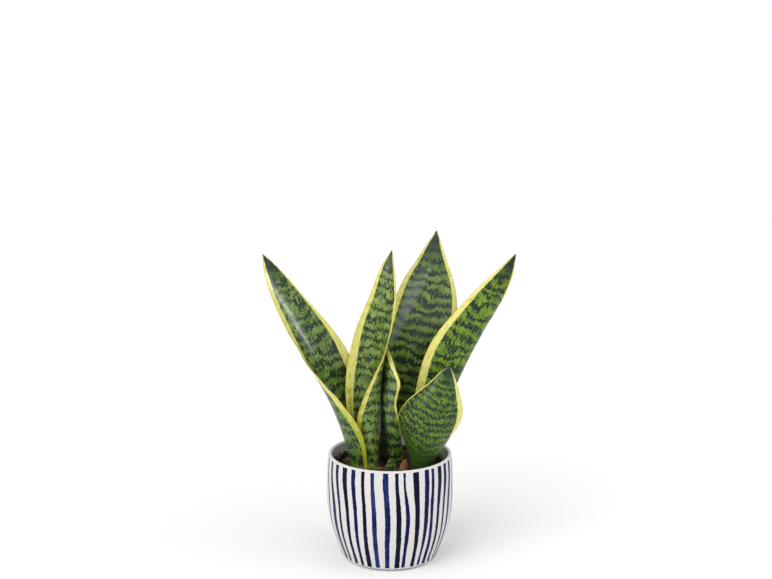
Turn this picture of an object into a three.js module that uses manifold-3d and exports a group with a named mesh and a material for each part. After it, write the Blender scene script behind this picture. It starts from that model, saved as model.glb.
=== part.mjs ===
// A variegated snake plant in a black nursery pot, standing in a hand-painted ceramic pot.
// Millimetres, +Z up. The origin is the centre of the ceramic pot's flat foot.
// Seen from -Y, the leaves fan out to the left and right.
import * as THREE from 'three';
import { mergeVertices } from 'three/addons/utils/BufferGeometryUtils.js';
import Module from 'manifold-3d';

const wasm = await Module();
wasm.setup();

// Ceramic pot
const POT_HEIGHT = 111;
const BELLY_RADIUS = 65;
const BELLY_HEIGHT = 69;
const RIM_INSET = 1.7;
const HEEL_RADIUS = 50.5;
const HEEL_HEIGHT = 6;
const HEEL_ROUND = 2;
const HEEL_LIFT = 0.5;
const HEEL_FLARE = 4.5;
const HEEL_REACH = 14;
const BELLY_REACH = 30;
const SHOULDER_DROP = 16;
const FOOT_RADIUS = 40;
const WALL = 4;
const FLOOR = 6;

// Nursery pot
const CLEARANCE = 0.3;
const NURSERY_WALL = 1.2;
const NURSERY_RIM_GAP = 2.5;
const NURSERY_FOOT_GAP = 1.5;
const NURSERY_LIP = 1.8;
const NURSERY_LIP_DEPTH = 6;
const NURSERY_RIM_DROP = 10;
const DRAIN_HOLES = 6;
const DRAIN_RADIUS = 4;
const DRAIN_RING = 23;

// Plant and soil
const SOIL_DROP = 13;
const SOIL_GAP = 0.5;
const SOIL_MOUND = 2;
const TALLEST_TIP = 240;
const LEAF_THICKNESS = 3;
const LEAF_EDGE = 1;
const LEAF_TIP_SHARE = 0.65;
const RHIZOME_RADIUS = 7;
const ROOT_RADIUS = 1.8;
const STRAND_RADIUS = 0.5;

const ROUND = 40;
// The leaves' points and widths are given for a plant whose tallest tip stands this far above
// the soil, and which grows in soil of this radius.
const GROWN_HEIGHT = 240;
const GROWN_SOIL_RADIUS = 53.5;
const growth = TALLEST_TIP / GROWN_HEIGHT;
const rimRadius = BELLY_RADIUS - RIM_INSET;
const soilTop = POT_HEIGHT - SOIL_DROP;
const nurseryFloor = FLOOR + CLEARANCE;
const soilBottom = nurseryFloor + NURSERY_WALL + CLEARANCE;
const nurseryTop = POT_HEIGHT - NURSERY_RIM_DROP;
const nurseryRimRadius = rimRadius - WALL - NURSERY_RIM_GAP;
const nurseryBodyRadius = nurseryRimRadius - NURSERY_LIP;
const nurseryFootRadius = FOOT_RADIUS - NURSERY_FOOT_GAP;
const soilRadius = nurseryBodyRadius - NURSERY_WALL - CLEARANCE;
const soilFootRadius = nurseryFootRadius - NURSERY_WALL - CLEARANCE;
const spread = soilRadius / GROWN_SOIL_RADIUS;

const glaze = new THREE.MeshStandardMaterial({ color: 0xe9e7e3, roughness: 0.25, metalness: 0 });
const blackPlastic = new THREE.MeshStandardMaterial({ color: 0x22262a, roughness: 0.55, metalness: 0 });
const soilBrown = new THREE.MeshStandardMaterial({ color: 0x3a2a20, roughness: 0.95, metalness: 0 });
const barkBrown = new THREE.MeshStandardMaterial({ color: 0x7a4b2c, roughness: 0.9, metalness: 0 });
const leafGreen = new THREE.MeshStandardMaterial({ color: 0x4f7a35, roughness: 0.35, metalness: 0 });
const sheathTan = new THREE.MeshStandardMaterial({ color: 0x9a7448, roughness: 0.85, metalness: 0 });
const rootCream = new THREE.MeshStandardMaterial({ color: 0xd8b27a, roughness: 0.7, metalness: 0 });

const plant = new THREE.Group();

// Turns a closed geometry into a solid that can be joined and cut.
function solidOf(geometry) {
  const bare = geometry.clone();
  bare.deleteAttribute('normal');
  bare.deleteAttribute('uv');
  const merged = mergeVertices(bare, 1e-4);
  const index = merged.index.array;
  const triangles = [];
  for (let i = 0; i < index.length; i += 3) {
    const [a, b, c] = [index[i], index[i + 1], index[i + 2]];
    if (a !== b && b !== c && c !== a) triangles.push(a, b, c);
  }
  return new wasm.Manifold(new wasm.Mesh({
    numProp: 3,
    vertProperties: new Float32Array(merged.attributes.position.array),
    triVerts: new Uint32Array(triangles),
  }));
}

// Adds a solid to the plant as a named mesh. Crumbs that a cut leaves loose are dropped.
function addNode(name, solid, material) {
  const largest = solid.decompose().sort((a, b) => b.volume() - a.volume())[0];
  const data = largest.getMesh();
  const geometry = new THREE.BufferGeometry();
  geometry.setAttribute('position', new THREE.BufferAttribute(new Float32Array(data.vertProperties), 3));
  geometry.setIndex(new THREE.BufferAttribute(new Uint32Array(data.triVerts), 1));
  geometry.computeVertexNormals();
  const mesh = new THREE.Mesh(geometry, material);
  mesh.name = name;
  plant.add(mesh);
}

function lathe(path, divisions = 4) {
  const geometry = new THREE.LatheGeometry(path.getPoints(divisions), ROUND);
  // LatheGeometry turns about Y, so the profile is stood up to turn about Z.
  geometry.rotateX(Math.PI / 2);
  return solidOf(geometry);
}

function tube(points, radius, sides, steps) {
  const curve = new THREE.CatmullRomCurve3(points.map((p) => new THREE.Vector3(...p)));
  const section = new THREE.Shape();
  for (let i = 0; i < sides; i++) {
    const angle = (2 * Math.PI * i) / sides;
    const corner = [radius * Math.cos(angle), radius * Math.sin(angle)];
    if (i === 0) section.moveTo(...corner);
    else section.lineTo(...corner);
  }
  return solidOf(new THREE.ExtrudeGeometry(section, { extrudePath: curve, steps, bevelEnabled: false }));
}

// ---- Ceramic pot: a small heel, a full belly and a thick rounded lip ----

// The pot's side as curves, drawn inwards from its outer face by an inset.
function sideCurves(inset, heelHeight) {
  const heel = new THREE.Vector2(HEEL_RADIUS - inset, heelHeight);
  const lowPull = new THREE.Vector2(HEEL_RADIUS + HEEL_FLARE - inset, HEEL_HEIGHT + HEEL_REACH);
  const bellyPull = new THREE.Vector2(BELLY_RADIUS - inset, BELLY_HEIGHT - BELLY_REACH);
  const belly = new THREE.Vector2(BELLY_RADIUS - inset, BELLY_HEIGHT);
  const shoulder = new THREE.Vector2(BELLY_RADIUS - inset, POT_HEIGHT - SHOULDER_DROP);
  const rim = new THREE.Vector2(rimRadius - inset, POT_HEIGHT - WALL / 2);
  return { heel, lowPull, bellyPull, belly, shoulder, rim };
}

function ceramicPot() {
  const outer = sideCurves(0, HEEL_HEIGHT);
  const inner = sideCurves(WALL, HEEL_HEIGHT + FLOOR);
  const profile = new THREE.Path();
  profile.moveTo(0, 0);
  profile.lineTo(FOOT_RADIUS, 0);
  profile.quadraticCurveTo(outer.heel.x - HEEL_ROUND, HEEL_LIFT, outer.heel.x, outer.heel.y);
  profile.bezierCurveTo(...outer.lowPull, ...outer.bellyPull, ...outer.belly);
  profile.quadraticCurveTo(...outer.shoulder, ...outer.rim);
  profile.absarc(rimRadius - WALL / 2, outer.rim.y, WALL / 2, 0, Math.PI);
  profile.quadraticCurveTo(...inner.shoulder, ...inner.belly);
  profile.bezierCurveTo(...inner.bellyPull, ...inner.lowPull, ...inner.heel);
  profile.quadraticCurveTo(inner.heel.x - HEEL_LIFT, FLOOR, FOOT_RADIUS, FLOOR);
  profile.lineTo(0, FLOOR);
  return lathe(profile);
}

// ---- Nursery pot: thin tapered plastic with a band round its rim and holes in its floor ----

function nurseryPot() {
  const lipBottom = nurseryTop - NURSERY_LIP_DEPTH;
  const profile = new THREE.Path();
  profile.moveTo(0, nurseryFloor);
  profile.lineTo(nurseryFootRadius, nurseryFloor);
  profile.lineTo(nurseryBodyRadius, lipBottom);
  profile.lineTo(nurseryRimRadius, lipBottom);
  profile.lineTo(nurseryRimRadius, nurseryTop);
  profile.lineTo(nurseryBodyRadius - NURSERY_WALL, nurseryTop);
  profile.lineTo(nurseryBodyRadius - NURSERY_WALL, lipBottom);
  profile.lineTo(nurseryFootRadius - NURSERY_WALL, nurseryFloor + NURSERY_WALL);
  profile.lineTo(0, nurseryFloor + NURSERY_WALL);
  let pot = lathe(profile);
  for (let i = 0; i < DRAIN_HOLES; i++) {
    const angle = (2 * Math.PI * i) / DRAIN_HOLES;
    const drill = new THREE.CylinderGeometry(DRAIN_RADIUS, DRAIN_RADIUS, 4 * NURSERY_WALL, 16);
    drill.rotateX(Math.PI / 2);
    drill.translate(DRAIN_RING * Math.cos(angle), DRAIN_RING * Math.sin(angle), nurseryFloor);
    pot = pot.subtract(solidOf(drill));
  }
  return pot;
}

// ---- Leaves ----
// A leaf is a thick channel swept along its midrib, whose four Bezier points are given as
// x, y and height above the soil. Each row of its shape holds, at one share of its length:
// the way its hollow side faces (0 is +X, 90 is +Y), the half widths of its left and right
// wings, how far each wing curls up in degrees, and how tightly they fold at the midrib.

const LEAVES = {
  leaf_left: {
    midrib: [[-37, -10, -6], [-47, -8, 48], [-76, -2, 133], [-127, 0, 219]],
    shape: [
      [0.00, 0, 19, 19, 115, 100, 1.3],
      [0.20, -8, 28, 28, 108, 85, 1.3],
      [0.40, -28, 30, 36, 88, 50, 1.2],
      [0.60, -50, 27, 31, 60, 48, 1.2],
      [0.80, -60, 22, 16, 45, 45, 1.2],
      [0.93, -65, 11, 7, 30, 30, 1],
      [1.00, -65, 0.5, 0.5, 20, 20, 1],
    ],
  },
  leaf_centre_left: {
    midrib: [[-14, -10, -6], [-10, -11, 58], [-15, -8, 148], [2, 0, 223]],
    shape: [
      [0.00, 180, 11, 11, 110, 110, 1.5],
      [0.20, 184, 32, 25, 110, 112, 2.6],
      [0.40, 205, 38, 28, 85, 90, 1.8],
      [0.60, 222, 31, 25, 50, 50, 1.3],
      [0.80, 240, 15, 17, 40, 30, 1],
      [0.93, 245, 7, 7, 30, 20, 1],
      [1.00, 245, 0.5, 0.5, 20, 20, 1],
    ],
  },
  leaf_tall: {
    midrib: [[-7, 13, -6], [-20, 14, 48], [34, 34, 118], [47, 18, 240]],
    shape: [
      [0.00, -20, 32, 16, 175, 110, 1],
      [0.20, -40, 41, 24, 190, 80, 0.8],
      [0.38, -60, 54, 30, 190, 60, 0.6],
      [0.49, -66, 68, 34, 215, 50, 0.5],
      [0.56, -72, 60, 41, 165, 46, 0.55],
      [0.64, -78, 42, 44, 80, 38, 0.8],
      [0.82, -85, 30, 33, 35, 30, 1],
      [0.94, -85, 12, 11, 25, 25, 1],
      [1.00, -85, 0.5, 0.5, 20, 20, 1],
    ],
  },
  leaf_right: {
    midrib: [[31, 2, -6], [44, 6, 48], [71, 0, 123], [125, -4, 220]],
    shape: [
      [0.00, 150, 14, 12, 100, 100, 1],
      [0.20, 135, 24, 20, 95, 70, 1],
      [0.40, 120, 27, 31, 105, 40, 1],
      [0.60, 112, 25, 35, 100, 35, 1],
      [0.80, 105, 17, 21, 70, 35, 1],
      [0.93, 95, 8, 8, 30, 30, 1],
      [1.00, 95, 0.5, 0.5, 20, 20, 1],
    ],
  },
  leaf_small_front: {
    midrib: [[30, -21, -6], [37, -34, 28], [48, -40, 68], [59, -28, 111]],
    shape: [
      [0.00, 95, 14, 14, 120, 120, 1],
      [0.20, 95, 23, 28, 90, 90, 1],
      [0.45, 95, 34, 42, 70, 66, 1],
      [0.65, 95, 32, 35, 50, 58, 1],
      [0.85, 95, 17, 16, 40, 50, 1],
      [0.95, 95, 7, 7, 30, 30, 1],
      [1.00, 95, 0.5, 0.5, 20, 20, 1],
    ],
  },
};

const SCALE_LEAVES = {
  green_scale_leaf: {
    midrib: [[1, -15, -6], [1, -16, 0], [1, -16, 5], [0, -15, 11]],
    shape: [
      [0.00, 90, 8, 8, 60, 60, 1],
      [0.50, 90, 6, 6, 50, 50, 1],
      [1.00, 90, 0.5, 0.5, 20, 20, 1],
    ],
  },
  dry_scale_leaf: {
    midrib: [[13, -18, -6], [13, -19, 0], [14, -20, 6], [16, -21, 12]],
    shape: [
      [0.00, 100, 6, 4, 60, 60, 1],
      [0.50, 100, 6, 4, 50, 50, 1],
      [1.00, 100, 1.5, 1.5, 20, 20, 1],
    ],
  },
};

const STATIONS = 22;
const WING_STEPS = 4;
const FINE_STEPS = 8;

// A smooth curve through one column of the shape rows.
function columnAt(rows, column, share) {
  const last = rows.length - 1;
  let i = 0;
  while (i < last - 1 && share >= rows[i + 1][0]) i++;
  const slope = (k) => {
    const before = Math.max(k - 1, 0);
    const after = Math.min(k + 1, last);
    return (rows[after][column] - rows[before][column]) / (rows[after][0] - rows[before][0]);
  };
  const span = rows[i + 1][0] - rows[i][0];
  const s = Math.min(Math.max((share - rows[i][0]) / span, 0), 1);
  return (2 * s ** 3 - 3 * s ** 2 + 1) * rows[i][column] + (s ** 3 - 2 * s ** 2 + s) * span * slope(i)
    + (3 * s ** 2 - 2 * s ** 3) * rows[i + 1][column] + (s ** 3 - s ** 2) * span * slope(i + 1);
}

// Points across one wing: how far out, how far up and which way it slopes at each step.
function wingPoints(width, curl, fold) {
  const points = [{ out: 0, up: 0, slope: 0 }];
  let out = 0;
  let up = 0;
  for (let j = 1; j <= WING_STEPS; j++) {
    for (let k = 0; k < FINE_STEPS; k++) {
      const s = (j - 1 + (k + 0.5) / FINE_STEPS) / WING_STEPS;
      const angle = curl * (1 - (1 - s) ** fold);
      out += (Math.cos(angle) * width) / (WING_STEPS * FINE_STEPS);
      up += (Math.sin(angle) * width) / (WING_STEPS * FINE_STEPS);
    }
    points.push({ out, up, slope: curl * (1 - (1 - j / WING_STEPS) ** fold) });
  }
  return points;
}

// A closed leaf; a positive margin makes it that much larger all over, to cut its own hole.
function leafSolid({ midrib, shape }, stations, thickness, margin = 0) {
  // Heights follow the tallest tip; the spread of the plant follows the soil's radius.
  const points = midrib.map(([x, y, z]) => new THREE.Vector3(x * spread, y * spread, soilTop + z * growth));
  const curve = new THREE.CubicBezierCurve3(...points);
  const across = 2 * WING_STEPS + 1;
  const rings = [];
  for (let i = 0; i <= stations; i++) {
    const share = i / stations;
    const at = (column) => columnAt(shape, column, share);
    const centre = curve.getPoint(share);
    const along = curve.getTangent(share);
    if (i === 0) centre.addScaledVector(along, -margin);
    if (i === stations) centre.addScaledVector(along, margin);
    const facing = THREE.MathUtils.degToRad(at(1));
    const hollow = new THREE.Vector3(Math.cos(facing), Math.sin(facing), 0);
    hollow.addScaledVector(along, -hollow.dot(along)).normalize();
    const right = new THREE.Vector3().crossVectors(along, hollow);
    const top = [];
    const bottom = [];
    for (const [side, width, curl] of [[-1, at(2), at(4)], [1, at(3), at(5)]]) {
      const wing = wingPoints(width * spread, THREE.MathUtils.degToRad(curl), at(6));
      const end = wing[WING_STEPS];
      end.out += margin * Math.cos(end.slope);
      end.up += margin * Math.sin(end.slope);
      for (let j = 0; j <= WING_STEPS; j++) {
        const slot = WING_STEPS + side * j;
        const edge = (j / WING_STEPS) ** 2;
        const taper = 1 - (1 - LEAF_TIP_SHARE) * share;
        const half = ((thickness * (1 - edge) + LEAF_EDGE * edge) * spread * taper) / 2 + margin;
        const place = centre.clone().addScaledVector(right, side * wing[j].out)
          .addScaledVector(hollow, wing[j].up);
        const normal = hollow.clone().multiplyScalar(Math.cos(wing[j].slope))
          .addScaledVector(right, -side * Math.sin(wing[j].slope));
        top[slot] = place.clone().addScaledVector(normal, half);
        bottom[slot] = place.clone().addScaledVector(normal, -half);
      }
    }
    rings.push([...top, ...bottom.reverse()]);
  }
  const count = 2 * across;
  const index = [];
  for (let i = 0; i < stations; i++) {
    for (let j = 0; j < count; j++) {
      const a = i * count + j;
      const b = i * count + ((j + 1) % count);
      index.push(a, b, b + count, a, b + count, a + count);
    }
  }
  for (let j = 0; j < across - 1; j++) {
    const opposite = count - 1 - j;
    const end = stations * count;
    index.push(j, opposite, opposite - 1, j, opposite - 1, j + 1);
    index.push(end + j, end + opposite - 1, end + opposite, end + j, end + j + 1, end + opposite - 1);
  }
  const geometry = new THREE.BufferGeometry();
  const flat = rings.flat().flatMap((p) => [p.x, p.y, p.z]);
  geometry.setAttribute('position', new THREE.BufferAttribute(new Float32Array(flat), 3));
  geometry.setIndex(index);
  return solidOf(geometry);
}

// ---- Rhizome and roots, under the soil ----

const crown = (x, y, depth) => [x * spread, y * spread, soilTop - depth];
const RHIZOME_DEPTH = 13;
const CHIP_TILT = 0.2;
const RHIZOME_ROUTE = [[-36, -9], [-14, -10], [0, 8], [18, 8], [31, -1], [31, -20]];
const rhizomeRoute = RHIZOME_ROUTE.map(([x, y]) => crown(x, y, RHIZOME_DEPTH));
const rhizomeSolid = (margin) => tube(rhizomeRoute, RHIZOME_RADIUS + margin, 8, 16);

// Each root starts inside the rhizome, whose seat trims it, and ends a little above the bottom
// of the soil, at a place given as shares of the radius there.
const ROOTS = [
  { from: [-26, -9], end: [-0.8, -0.1], above: 16 },
  { from: [-6, 0], end: [-0.25, -0.4], above: 10 },
  { from: [12, 9], end: [0.4, 0.6], above: 14 },
  { from: [31, -10], end: [0.7, -0.5], above: 20 },
];
const ROOT_BEND = 0.3;
function rootSolid({ from, end, above }, margin) {
  const start = new THREE.Vector3(...crown(...from, RHIZOME_DEPTH + RHIZOME_RADIUS / 2));
  const tip = new THREE.Vector3(end[0] * soilFootRadius, end[1] * soilFootRadius, soilBottom + above);
  const middle = start.clone().lerp(tip, ROOT_BEND);
  middle.z = (start.z + tip.z) / 2;
  return tube([start, middle, tip].map((p) => p.toArray()), ROOT_RADIUS + margin, 6, 8);
}

// ---- Bark chips and coir strands lying on the soil ----
// Chips: direction from +X and share of the soil's radius, turn, and length, width, height.

const CHIPS = [
  { direction: 158, share: 0.84, turn: 25, size: [8, 5, 4] },
  { direction: 205, share: 0.86, turn: 70, size: [6, 4, 3] },
  { direction: 20, share: 0.86, turn: -35, size: [7, 5, 3] },
  { direction: 350, share: 0.86, turn: 15, size: [6, 5, 4] },
  { direction: 95, share: 0.75, turn: 50, size: [8, 6, 4] },
  { direction: 268, share: 0.85, turn: -10, size: [5, 4, 3] },
];
const soilHeightAt = (share) => soilTop - SOIL_MOUND * share ** 2;

function chipSolid({ direction, share, turn, size: [length, width, height] }, margin) {
  const angle = THREE.MathUtils.degToRad(direction);
  const geometry = new THREE.BoxGeometry(length + 2 * margin, width + 2 * margin, height + 2 * margin);
  geometry.rotateX(CHIP_TILT);
  geometry.rotateZ(THREE.MathUtils.degToRad(turn));
  geometry.translate(share * soilRadius * Math.cos(angle), share * soilRadius * Math.sin(angle),
    soilHeightAt(share) + 0.1 * height);
  return solidOf(geometry);
}

const STRANDS = [
  { from: [-0.42, -0.56], bow: [-0.2, -0.6], to: [0.02, -0.5] },
  { from: [0.1, -0.62], bow: [0.3, -0.75], to: [0.5, -0.62] },
  { from: [0.62, 0.42], bow: [0.5, 0.62], to: [0.3, 0.72] },
  { from: [-0.84, 0.1], bow: [-0.92, 0], to: [-0.88, -0.16] },
];
function strandSolid({ from, bow, to }, margin) {
  const place = ([x, y], rise) => [x * soilRadius, y * soilRadius, soilHeightAt(Math.hypot(x, y)) + rise];
  return tube([place(from, -1), place(bow, 1.5), place(to, -1)], STRAND_RADIUS + margin, 5, 8);
}

// ---- Soil: fills the nursery pot and leaves room for everything that stands in it ----

function pottingSoil() {
  const lipBottom = nurseryTop - NURSERY_LIP_DEPTH;
  const profile = new THREE.Path();
  profile.moveTo(0, soilBottom);
  profile.lineTo(soilFootRadius, soilBottom);
  profile.lineTo(soilRadius, lipBottom);
  profile.lineTo(soilRadius, soilTop - SOIL_MOUND);
  profile.quadraticCurveTo(soilRadius / 2, soilTop, 0, soilTop);
  let soil = lathe(profile);
  for (const leaf of Object.values(LEAVES)) {
    soil = soil.subtract(leafSolid(leaf, STATIONS, LEAF_THICKNESS, SOIL_GAP));
  }
  for (const leaf of Object.values(SCALE_LEAVES)) {
    soil = soil.subtract(leafSolid(leaf, 4, LEAF_EDGE, SOIL_GAP));
  }
  soil = soil.subtract(rhizomeSolid(CLEARANCE));
  for (const root of ROOTS) soil = soil.subtract(rootSolid(root, CLEARANCE));
  for (const chip of CHIPS) soil = soil.subtract(chipSolid(chip, CLEARANCE));
  for (const strand of STRANDS) soil = soil.subtract(strandSolid(strand, CLEARANCE));
  return soil;
}

addNode('ceramic_pot', ceramicPot(), glaze);
addNode('nursery_pot', nurseryPot(), blackPlastic);
addNode('potting_soil', pottingSoil(), soilBrown);
addNode('rhizome', rhizomeSolid(0), rootCream);

const rhizomeSeat = rhizomeSolid(CLEARANCE);
for (const [name, leaf] of Object.entries(LEAVES)) {
  addNode(name, leafSolid(leaf, STATIONS, LEAF_THICKNESS).subtract(rhizomeSeat), leafGreen);
}
for (const [name, leaf] of Object.entries(SCALE_LEAVES)) {
  const material = name === 'dry_scale_leaf' ? sheathTan : leafGreen;
  addNode(name, leafSolid(leaf, 4, LEAF_EDGE).subtract(rhizomeSeat), material);
}
ROOTS.forEach((root, i) => addNode(`root_${i + 1}`, rootSolid(root, 0).subtract(rhizomeSeat), rootCream));
CHIPS.forEach((chip, i) => addNode(`bark_chip_${i + 1}`, chipSolid(chip, 0), barkBrown));
STRANDS.forEach((strand, i) => addNode(`coir_strand_${i + 1}`, strandSolid(strand, 0), barkBrown));

export default plant;
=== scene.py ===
# %% [markdown]
# A variegated snake plant in a black nursery pot, standing in a hand-painted ceramic pot.
# The CAD model gives every piece its place and size. This script loads it first, because the
# finished pieces that take its place have to stay the same size.

# %% Load the frame
import math
import random
import bpy
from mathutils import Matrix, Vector, noise


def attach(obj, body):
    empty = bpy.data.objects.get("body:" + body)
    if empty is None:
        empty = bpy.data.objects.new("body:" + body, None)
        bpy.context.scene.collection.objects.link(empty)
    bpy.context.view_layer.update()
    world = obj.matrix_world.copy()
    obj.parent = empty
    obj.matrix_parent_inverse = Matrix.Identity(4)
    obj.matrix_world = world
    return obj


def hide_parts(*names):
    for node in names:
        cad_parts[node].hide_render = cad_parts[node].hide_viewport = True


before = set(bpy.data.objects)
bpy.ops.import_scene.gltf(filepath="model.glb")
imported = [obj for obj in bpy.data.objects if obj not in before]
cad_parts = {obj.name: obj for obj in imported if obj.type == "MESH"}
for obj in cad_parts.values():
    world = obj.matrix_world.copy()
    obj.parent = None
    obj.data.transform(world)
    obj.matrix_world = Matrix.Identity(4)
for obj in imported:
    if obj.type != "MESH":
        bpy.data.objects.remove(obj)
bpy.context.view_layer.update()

MM = 0.001

# %% [markdown]
# An operator works on whatever is selected, and the loaded nodes still are. So every piece
# starts from a cleared selection. When a piece is done, its place goes into its mesh, it is told
# which body it rides on and which finish it has, and the CAD nodes it stands for are hidden.

# %% Start and finish a piece
def clear_selection():
    if bpy.context.mode != "OBJECT":
        bpy.ops.object.mode_set(mode="OBJECT")
    bpy.ops.object.select_all(action="DESELECT")


def select_only(piece):
    clear_selection()
    piece.select_set(True)
    bpy.context.view_layer.objects.active = piece


def apply_modifiers(piece):
    select_only(piece)
    for modifier in list(piece.modifiers):
        bpy.ops.object.modifier_apply(modifier=modifier.name)


def finish_piece(piece, name, material, slot_name, *nodes):
    select_only(piece)
    bpy.ops.object.transform_apply(location=True, rotation=True, scale=True)
    piece.name = name
    piece.data.name = name
    piece.data.materials.clear()
    piece.data.materials.append(material)
    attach(piece, "root")
    if nodes:
        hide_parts(*nodes)
    print(name, len(piece.data.polygons), "faces")


# %% [markdown]
# A material is a tree of small nodes. These helpers add one node at a time, so that a finish
# below reads like a list of what the surface does, in the order in which it does it.

# %% Helpers for material trees
def put(tree, kind, inputs=None, **settings):
    made = tree.nodes.new("ShaderNode" + kind)
    for key, value in settings.items():
        setattr(made, key, value)
    for key, value in (inputs or {}).items():
        if isinstance(value, bpy.types.NodeSocket):
            tree.links.new(value, made.inputs[key])
        else:
            made.inputs[key].default_value = value
    return made


def reckon(tree, operation, *values):
    return put(tree, "Math", dict(enumerate(values)), operation=operation).outputs[0]


def stretch(tree, vector, scale):
    return put(tree, "VectorMath", {0: vector, 1: scale}, operation="MULTIPLY").outputs[0]


def cloud(tree, vector, scale, detail=2.0, roughness=0.5):
    stretched = stretch(tree, vector, scale)
    inputs = {"Vector": stretched, "Scale": 1.0, "Detail": detail, "Roughness": roughness}
    return put(tree, "TexNoise", inputs).outputs[0]


def ramp(tree, value, low, high):
    inputs = {"Value": value, "From Min": low, "From Max": high}
    return put(tree, "MapRange", inputs, interpolation_type="SMOOTHSTEP").outputs[0]


def blend(tree, share, first, second):
    return put(tree, "Mix", {0: share, 6: first, 7: second}, data_type="RGBA").outputs[2]


def sway(tree, value, reach):
    """Turns a 0 to 1 cloud into a shift of up to about half the reach either way."""
    return reckon(tree, "MULTIPLY", reckon(tree, "SUBTRACT", value, 0.5), reach)


def total(tree, *values):
    answer = values[0]
    for value in values[1:]:
        answer = reckon(tree, "ADD", answer, value)
    return answer


def product(tree, *values):
    answer = values[0]
    for value in values[1:]:
        answer = reckon(tree, "MULTIPLY", answer, value)
    return answer


def relief_into(tree, shader, height, distance):
    bump = put(tree, "Bump", {"Height": height, "Distance": distance, "Strength": 1.0})
    tree.links.new(bump.outputs[0], shader.inputs["Normal"])


def new_finish(name, **surface):
    material = bpy.data.materials.new(name)
    material.use_nodes = True
    tree = material.node_tree
    shader = tree.nodes["Principled BSDF"]
    for key, value in surface.items():
        shader.inputs[key.replace("_", " ")].default_value = value
    return material, tree, shader


# %% [markdown]
# Glazed ceramic is a white body under a thin clear glass. The blue stripes are brushed on by
# hand under the glaze, so their edges are ragged and the colour pools darker in places. They
# could be modelled or drawn as an image, but a painted mark has no thickness worth modelling.
# Instead each point of the pot carries how far it is from the nearest stripe's middle, how wide
# that stripe is there and how dark its brushful was, and the material turns these into paint.

# %% Glazed ceramic with brushed stripes
PAINT_TOP = 109.2
PAINT_BOTTOM = 4.4
INK = (0.002, 0.003, 0.018, 1)
NAVY = (0.003, 0.008, 0.062, 1)
WASHED_BLUE = (0.018, 0.033, 0.160, 1)
WARM_WHITE = (0.67, 0.65, 0.64, 1)
COOL_WHITE = (0.73, 0.71, 0.698, 1)
BARE_CLAY = (0.62, 0.55, 0.47, 1)
COAT = 0.05


def painted_glaze():
    material, tree, shader = new_finish(
        "painted glaze", Roughness=0.14, Coat_Roughness=0.04, Specular_IOR_Level=0.06)
    place = put(tree, "TexCoord").outputs["Object"]
    paint = put(tree, "Attribute", attribute_name="paint").outputs["Vector"]
    away, half, tone = put(tree, "SeparateXYZ", {0: paint}).outputs
    # inside a stroke, with an edge frayed by the bristles and swayed by the hand
    bristle = sway(tree, cloud(tree, place, (900, 900, 420), 3), 1.3)
    hand = sway(tree, cloud(tree, place, (120, 120, 60), 1), 0.9)
    inside = total(tree, half, product(tree, away, -1), bristle, hand)
    stroke = ramp(tree, inside, -0.12, 0.12)
    # every stroke begins on the lip and ends a little above the ground
    height = product(tree, put(tree, "SeparateXYZ", {0: place}).outputs[2], 1000)
    lift = sway(tree, cloud(tree, place, (160, 160, 40), 1), 1.6)
    lifted = total(tree, height, lift)
    top = ramp(tree, lifted, PAINT_TOP + 0.15, PAINT_TOP - 0.15)
    bottom = ramp(tree, lifted, PAINT_BOTTOM - 0.15, PAINT_BOTTOM + 0.15)
    stroke = product(tree, stroke, top, bottom)
    # the wash is thin or pooled
    pool = sway(tree, cloud(tree, place, (130, 130, 45), 3, 0.6), 1.5)
    wash = total(tree, tone, pool, sway(tree, cloud(tree, place, (500, 500, 200), 2), 0.35))
    blue = blend(tree, ramp(tree, wash, 0.0, 0.55), INK, NAVY)
    blue = blend(tree, ramp(tree, wash, 0.6, 1.25), blue, WASHED_BLUE)
    # the white body, bare where the foot stands on the ground
    body = blend(tree, cloud(tree, place, (260, 260, 9), 2), WARM_WHITE, COOL_WHITE)
    foot = ramp(tree, height, 0.45, 0.15)
    body = blend(tree, foot, body, BARE_CLAY)
    tree.links.new(blend(tree, stroke, body, blue), shader.inputs["Base Color"])
    coated = product(tree, reckon(tree, "SUBTRACT", 1, foot), COAT)
    tree.links.new(coated, shader.inputs["Coat Weight"])
    relief_into(tree, shader, cloud(tree, place, (60, 60, 30), 2), 0.0004)
    return material


# %% [markdown]
# The pot itself is turned: every level is a circle. It could be a profile given the Screw
# modifier. Here it is grown ring by ring, which a learner can follow by hand: extrude the last
# ring, scale it to the next radius and lift it to the next height, from the foot up the outside,
# over the lip and down the inside. The open middles of the foot and the floor are then filled.

# %% Grow a turned wall
def curve_points(corners, count):
    """Points along a curve of two or three handles, as used for every bend of a profile."""
    points = [Vector(corner) for corner in corners]
    answer = []
    for i in range(1, count + 1):
        row, t = points, i / count
        while len(row) > 1:
            row = [a.lerp(b, t) for a, b in zip(row, row[1:])]
        answer.append(tuple(row[0]))
    return answer


def grow_rings(profile, segments):
    clear_selection()
    radius, height = profile[0]
    start = (0, 0, height * MM)
    bpy.ops.mesh.primitive_circle_add(vertices=segments, radius=radius * MM, location=start)
    piece = bpy.context.object
    bpy.ops.object.transform_apply(location=True)
    bpy.ops.object.mode_set(mode="EDIT")
    bpy.ops.mesh.select_all(action="SELECT")
    for next_radius, next_height in profile[1:]:
        step = (0, 0, (next_height - height) * MM)
        bpy.ops.mesh.extrude_edges_move(TRANSFORM_OT_translate={"value": step})
        change = next_radius / radius
        bpy.ops.transform.resize(value=(change, change, 1), center_override=(0, 0, 0))
        radius, height = next_radius, next_height
    bpy.ops.mesh.select_all(action="SELECT")
    bpy.ops.mesh.fill_holes(sides=0)
    bpy.ops.mesh.select_all(action="SELECT")
    bpy.ops.mesh.normals_make_consistent(inside=False)
    bpy.ops.object.mode_set(mode="OBJECT")
    return piece


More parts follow.
